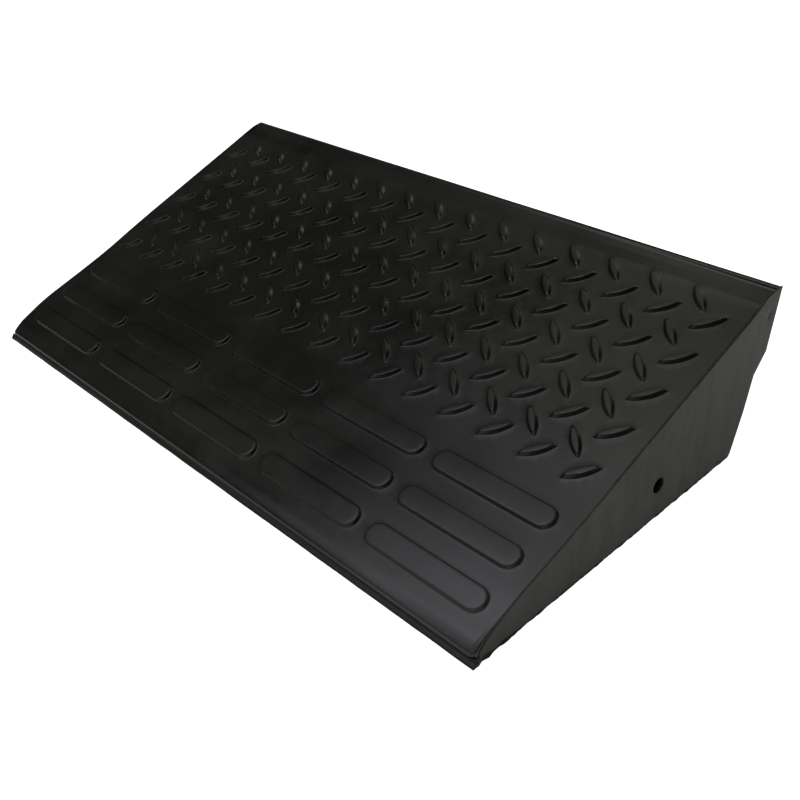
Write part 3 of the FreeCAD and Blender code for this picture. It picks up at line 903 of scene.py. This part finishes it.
# ------------------------------------------------------------------ materials
def add_streaks(nodes, coords, amount, streak):
    """Mixes upright streaks into the bloom; they are weaker near the toe."""
    y = nodes.axes(coords)[1]
    streaks = nodes.noise(nodes.mapping(coords, scale=(1, 1, 0.28)), scale=105.0, distort=0.3)
    streaks = nodes.ramp(streaks, 0.38, 0.66)
    near = nodes.ramp(y, low=-0.13, high=-0.02, start=0.35, end=1.0)
    mean = 0.42
    swing = nodes.math("MULTIPLY", nodes.math("SUBTRACT", streaks, mean), near)
    streaks = nodes.math("ADD", swing, mean)
    return nodes.math("ADD", nodes.math("MULTIPLY", amount, 1 - streak),
                      nodes.math("MULTIPLY", streaks, streak))


def add_specks(nodes, coords, color):
    """Pale dusty specks, in some areas only."""
    cells = nodes.new("TexVoronoi")
    nodes.put(cells, {"Scale": 55.0, "Vector": coords})
    speck = nodes.ramp(cells.outputs["Distance"], low=0.03, high=0.055, start=1.0, end=0.0)
    area = nodes.ramp(nodes.noise(coords, scale=17.0, detail=1.0), 0.60, 0.66)
    speck = nodes.math("MULTIPLY", speck, area)
    return nodes.mix(nodes.math("MULTIPLY", speck, 0.25), color, (0.12, 0.12, 0.115))


def add_scuffs(nodes, coords, patches, color):
    """Very faint short scuffs."""
    stretched = nodes.mapping(coords, scale=(14, 170, 60), shift=(0.2, 0.6, 0),
                              turn=(0.3, 0.1, 0.5))
    scuff = nodes.noise(stretched, scale=1.0, detail=2.0, rough=0.5)
    scuff = nodes.math("MULTIPLY", nodes.ramp(scuff, 0.70, 0.76), nodes.ramp(patches, 0.5, 0.6))
    return nodes.mix(nodes.math("MULTIPLY", scuff, 0.012), color, (0.09, 0.09, 0.09))


def add_painted_light_patch(nodes, coords, clouds, patches, color, centre, radius, tint):
    """Painted light: a lighter patch painted into the colour around one place, with a ragged border."""
    away = nodes.new("VectorMath")
    away.operation = "DISTANCE"
    nodes.put(away, {0: coords, 1: centre})
    ragged = nodes.math("MULTIPLY", nodes.math("SUBTRACT", clouds, 0.5), radius * 0.9)
    distance = nodes.math("ADD", away.outputs["Value"], ragged)
    fade = nodes.ramp(distance, low=radius, high=0.0, interpolation="SMOOTHERSTEP")
    fade = nodes.math("MULTIPLY", fade, nodes.ramp(patches, 0.3, 0.7, start=0.55, end=1.0))
    return nodes.mix(fade, color, tint)


def rubber(name, dark, light, rough, streak=0.0, painted_light=()):
    """Black rubber with grey bloom. rough holds the roughness of clean and of bloomed rubber;
    the patches of painted light (sheen and brighter light painted into the colour) come as (centre,
    radius, colour) in metres."""
    material, nodes, bsdf = new_material(name)
    coords = nodes.coords()
    clouds = nodes.noise(coords, scale=9.0, detail=4.0, rough=0.6, distort=0.6)
    patches = nodes.noise(nodes.mapping(coords, shift=(3.1, 1.7, 0.4)), scale=26.0, distort=0.3)
    grain = nodes.noise(coords, scale=1400.0, detail=2.0, rough=0.6)
    fine = nodes.noise(coords, scale=300.0, detail=1.5)
    cloud = nodes.ramp(clouds, 0.42, 0.68)
    patch = nodes.ramp(patches, 0.45, 0.72)
    amount = nodes.math("MULTIPLY", cloud, 0.65)
    amount = nodes.math("ADD", amount, nodes.math("MULTIPLY", patch, 0.35))
    if streak:
        amount = add_streaks(nodes, coords, amount, streak)
    amount = nodes.math("MULTIPLY", amount, 1.0)     # overall strength of the bloom
    color = nodes.mix(amount, dark, light)
    color = add_specks(nodes, coords, color)
    color = add_scuffs(nodes, coords, patches, color)
    # painted light: lighter patches, standing in for sheen and brighter light, painted into the colour
    for centre, radius, tint in painted_light:
        color = add_painted_light_patch(nodes, coords, clouds, patches, color, centre, radius, tint)
    roughness = nodes.ramp(amount, 0.0, 1.0, *rough)
    ripple = nodes.math("MULTIPLY", nodes.math("SUBTRACT", fine, 0.5), 0.05)
    roughness = nodes.math("ADD", roughness, ripple)
    nodes.put(bsdf, {"Base Color": color, "Roughness": roughness, "IOR": 1.5})
    if streak:
        specular = nodes.ramp(amount, 0.0, 1.0, start=0.36, end=0.66)
        nodes.put(bsdf, {"Specular IOR Level": specular})
    height = nodes.math("ADD", nodes.math("MULTIPLY", grain, 0.12),
                        nodes.math("MULTIPLY", fine, 1.0))
    nodes.put(bsdf, {"Normal": nodes.bump(height, strength=0.05, distance=0.00012)})
    return material


def zinc_steel():
    material, nodes, bsdf = new_material("zinc_steel")
    coords = nodes.coords()
    fine = nodes.noise(coords, scale=300.0, detail=4.0, rough=0.6)
    broad = nodes.noise(coords, scale=45.0, rough=0.6, distort=0.8)
    color = nodes.mix(nodes.ramp(broad, 0.4, 0.65), (0.50, 0.50, 0.48), (0.68, 0.68, 0.66))
    nodes.put(bsdf, {"Base Color": color, "Metallic": 1.0,
                     "Roughness": nodes.ramp(fine, 0.3, 0.7, start=0.26, end=0.42),
                     "Normal": nodes.bump(fine, strength=0.25, distance=0.00008)})
    return material


# painted light on the tread: a bluish painted sheen at the toe's right corner, and lighter painted
# patches standing in for brighter light at the two top corners; centre and radius in metres, colour at
# the middle
TREAD_PAINTED_LIGHT = [((0.265, -0.150, 0.015), 0.15, (0.050, 0.050, 0.060)),
              ((-0.27, 0.13, 0.11), 0.09, (0.020, 0.021, 0.019)),
              ((0.25, 0.15, 0.12), 0.07, (0.020, 0.021, 0.020))]
MAT_TREAD = rubber("rubber_tread", dark=(0.0048, 0.0049, 0.0045), light=(0.0190, 0.0193, 0.0180),
                   rough=(0.25, 0.35), painted_light=TREAD_PAINTED_LIGHT)
MAT_END = rubber("rubber_end", dark=(0.0040, 0.0041, 0.0039), light=(0.0390, 0.0392, 0.0375),
                 rough=(0.38, 0.52), streak=0.55)
MAT_BODY = rubber("rubber_body", dark=(0.0090, 0.0092, 0.0090), light=(0.0160, 0.0162, 0.0160),
                  rough=(0.46, 0.58), streak=0.3)
MAT_TOE = rubber("rubber_toe", dark=(0.0050, 0.0051, 0.0036), light=(0.0130, 0.0132, 0.0100),
                 rough=(0.50, 0.62))
MAT_STEEL = zinc_steel()

# ------------------------------------------------------------------ pieces
add_piece("tread_surface", build_tread(), "tread_cover", MAT_TREAD)
add_piece("toe_moulding", build_toe(), "toe_strip", MAT_TOE)
add_piece("rear_moulding", build_rear(), "rear_wall", MAT_BODY)
add_piece("right_end_panel", build_end(1), "right_end_wall", MAT_END, merge=False)
add_piece("left_end_panel", build_end(-1), "left_end_wall", MAT_END, merge=False)
add_piece("threaded_bolt", build_bolt(), "joining_bolt", MAT_STEEL,
          body="bolt", sharp=35)

# the CAD pieces that stay visible
STEEL_PIECES = ("left_bolt_sleeve", "right_bolt_sleeve", "captive_nut", "bolt_washer")
for name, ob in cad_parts.items():
    if ob.hide_render:
        continue
    material = MAT_STEEL if name in STEEL_PIECES else MAT_BODY
    if not ob.material_slots:
        ob.data.materials.append(material)
    for slot in ob.material_slots:
        slot.link = "OBJECT"
        slot.material = material

# ------------------------------------------------------------------ floor and world
FLOOR_GLOW, FLOOR_GLOW_NEAR = 0.29, 0.19     # light the floor gives far from the ramp, and beside it, where the glow is turned down as painted shadow
BACKDROP = 1.05                              # brightness of floor and world seen by the camera


def floor_material():
    material, nodes, bsdf = new_material("studio_white")
    nodes.put(bsdf, {"Base Color": (0.9, 0.9, 0.9), "Roughness": 1.0, "Specular IOR Level": 0.0})
    seen = nodes.new("LightPath").outputs["Is Camera Ray"]
    nodes.put(bsdf, {"Emission Color": nodes.mix(seen, (1.0, 1.0, 0.96), (1, 1, 1))})
    # painted shadow: the floor's glow, which lights the ramp, is turned down close around it, standing in
    # for the light the ramp keeps off the floor
    axes = nodes.axes(nodes.coords())
    squares = []
    beyond = []
    for axis, half in ((0, 0.30), (1, 0.16)):
        past = nodes.math("SUBTRACT", nodes.math("ABSOLUTE", axes[axis]), half)
        beyond.append(nodes.math("MAXIMUM", past, 0.0))
    for past in beyond:
        squares.append(nodes.math("MULTIPLY", past, past))
    distance = nodes.math("SQRT", nodes.math("ADD", *squares))
    glow = nodes.ramp(distance, low=0.0, high=0.12, start=FLOOR_GLOW_NEAR, end=FLOOR_GLOW)
    lit = nodes.math("MULTIPLY", glow, nodes.math("SUBTRACT", 1.0, seen))
    glow = nodes.math("ADD", lit, nodes.math("MULTIPLY", seen, BACKDROP))
    nodes.put(bsdf, {"Emission Strength": glow})
    return material


bpy.ops.mesh.primitive_plane_add(size=14.0, location=(0, 0, -0.0002))
floor = bpy.context.object
floor.name = "studio_floor"
floor.data.materials.append(floor_material())


def build_world():
    world = bpy.data.worlds.new("studio")
    bpy.context.scene.world = world
    world.use_nodes = True
    nodes = Nodes(world.node_tree)
    output = nodes.new("OutputWorld")
    background = nodes.new("Background")
    seen = nodes.new("LightPath").outputs["Is Camera Ray"]
    strength = nodes.ramp(seen, 0.0, 1.0, start=0.004, end=BACKDROP)
    nodes.put(background, {"Color": (1.0, 1.0, 1.0), "Strength": strength})
    nodes.put(output, {0: background.outputs[0]})


build_world()

# ------------------------------------------------------------------ lights
LIGHT_DISTANCE = 2.2             # metres from the frame's origin
LIGHT_GAIN = 0.955               # on all the watts below
LIGHT_TARGET = Vector((0, 0, 0.05))
# elevation and azimuth in degrees, side in metres, watts, tint
BOXES = [
    (70, 0, 1.0, 2.96, (1.02, 1.00, 0.89)), (54, 240, 0.5, 2.67, (0.95, 0.96, 1.06)),
    (10, 90, 1.0, 2.48, (0.98, 1.05, 0.90)), (76, 270, 0.5, 1.8, (0.96, 1.00, 0.99)),
    (66, 210, 0.5, 1.4, (0.93, 0.99, 1.04)), (50, 45, 0.8, 1.36, (0.98, 0.97, 0.97)),
    (40, 230, 0.5, 1.32, (1.00, 0.96, 1.03)), (76, 210, 0.5, 1.28, (0.98, 0.93, 1.06)),
    (76, 150, 0.5, 1.17, (1.01, 0.98, 0.95)), (30, 270, 0.8, 0.97, (1.04, 1.08, 0.85)),
    (10, 45, 1.0, 0.96, (1.10, 1.12, 0.80)), (66, 240, 0.5, 0.75, (1.10, 1.09, 0.84)),
    (54, 300, 0.5, 0.74, (1.01, 1.07, 0.88)), (54, 120, 0.5, 0.65, (1.01, 1.05, 0.87)),
    (30, 90, 0.8, 0.56, (1.04, 1.03, 0.86)), (66, 180, 0.5, 0.52, (0.94, 0.98, 1.00)),
    (50, 270, 0.8, 0.48, (1.10, 1.12, 0.84)), (40, 300, 0.5, 0.45, (1.00, 0.99, 0.92)),
    (10, 135, 1.0, 0.45, (1.01, 0.89, 0.92)), (54, 220, 0.5, 0.45, (1.07, 0.99, 0.92)),
    (50, 90, 0.8, 0.37, (1.06, 0.98, 0.84)), (10, 270, 1.0, 0.29, (1.10, 1.12, 0.84)),
    (66, 150, 0.5, 0.26, (1.01, 1.04, 0.86)), (54, 140, 0.5, 0.26, (1.00, 1.06, 0.87)),
    (40, 197, 0.5, 0.2, (0.99, 1.05, 0.91)), (54, 200, 0.5, 0.2, (1.10, 0.94, 0.96)),
    (25, 205, 0.55, 0.15, (1.00, 0.98, 0.95)), (66, 120, 0.5, 0.14, (1.10, 1.11, 0.80)),
    (30, 225, 0.8, 0.14, (1.10, 1.12, 0.84)), (30, 110, 0.8, 0.13, (0.96, 0.97, 0.93)),
    (30, 45, 0.8, 0.12, (0.97, 0.86, 1.04)), (40, 147, 0.5, 0.12, (0.92, 1.06, 0.88)),
    (40, 130, 0.5, 0.1, (0.95, 0.99, 0.94)), (25, 185, 0.55, 0.09, (0.99, 0.99, 0.92)),
    (40, 180, 0.5, 0.08, (0.98, 1.01, 0.88)), (25, 165, 0.55, 0.07, (0.96, 0.98, 0.86)),
    (40, 163, 0.5, 0.06, (1.00, 1.00, 0.86)), (54, 160, 0.5, 0.04, (1.10, 1.09, 0.80)),
    (57, 298, 0.3, 1.6, (1.01, 1.00, 0.94)), (33, 91, 0.3, 0.7, (1.0, 1.0, 0.94)),
    (28, 280, 0.6, 0.5, (1.0, 1.0, 0.94)),
]


def add_soft_box(name, elevation, azimuth, side, watts, tint):
    light = bpy.data.lights.new(name, "AREA")
    light.shape = "RECTANGLE"
    light.size = light.size_y = side
    light.energy = watts * LIGHT_GAIN
    light.color = tint
    ob = bpy.data.objects.new(name, light)
    bpy.context.scene.collection.objects.link(ob)
    a, e = math.radians(azimuth), math.radians(elevation)
    ob.location = (LIGHT_DISTANCE * math.cos(a) * math.cos(e),
                   LIGHT_DISTANCE * math.sin(a) * math.cos(e), LIGHT_DISTANCE * math.sin(e))
    ob.rotation_mode = "QUATERNION"
    ob.rotation_quaternion = (LIGHT_TARGET - ob.location).to_track_quat("-Z", "Y")


for i, box in enumerate(BOXES):
    add_soft_box("soft_box_%02d" % i, *box)

# ------------------------------------------------------------------ camera
CAMERA_RIGHT = (0.68753017, 0.72265420, -0.07122613)
CAMERA_UP = (-0.36084926, 0.42512605, 0.83009377)
CAMERA_BACK = (0.63015083, -0.54501261, 0.55305622)
CAMERA_PLACE = (0.593814, -0.452207, 0.468074)

scene = bpy.context.scene
lens = bpy.data.cameras.new("camera")
camera = bpy.data.objects.new("camera", lens)
scene.collection.objects.link(camera)
lens.sensor_width = 36.0
lens.sensor_fit = "HORIZONTAL"
lens.lens = 46.1311
lens.clip_start, lens.clip_end = 0.02, 50
camera.matrix_world = Matrix(((*CAMERA_RIGHT, 0), (*CAMERA_UP, 0), (*CAMERA_BACK, 0),
                              (*CAMERA_PLACE, 1))).transposed()
scene.camera = camera
scene.view_settings.view_transform = "Standard"
scene.view_settings.look = "None"

bpy.context.view_layer.update()
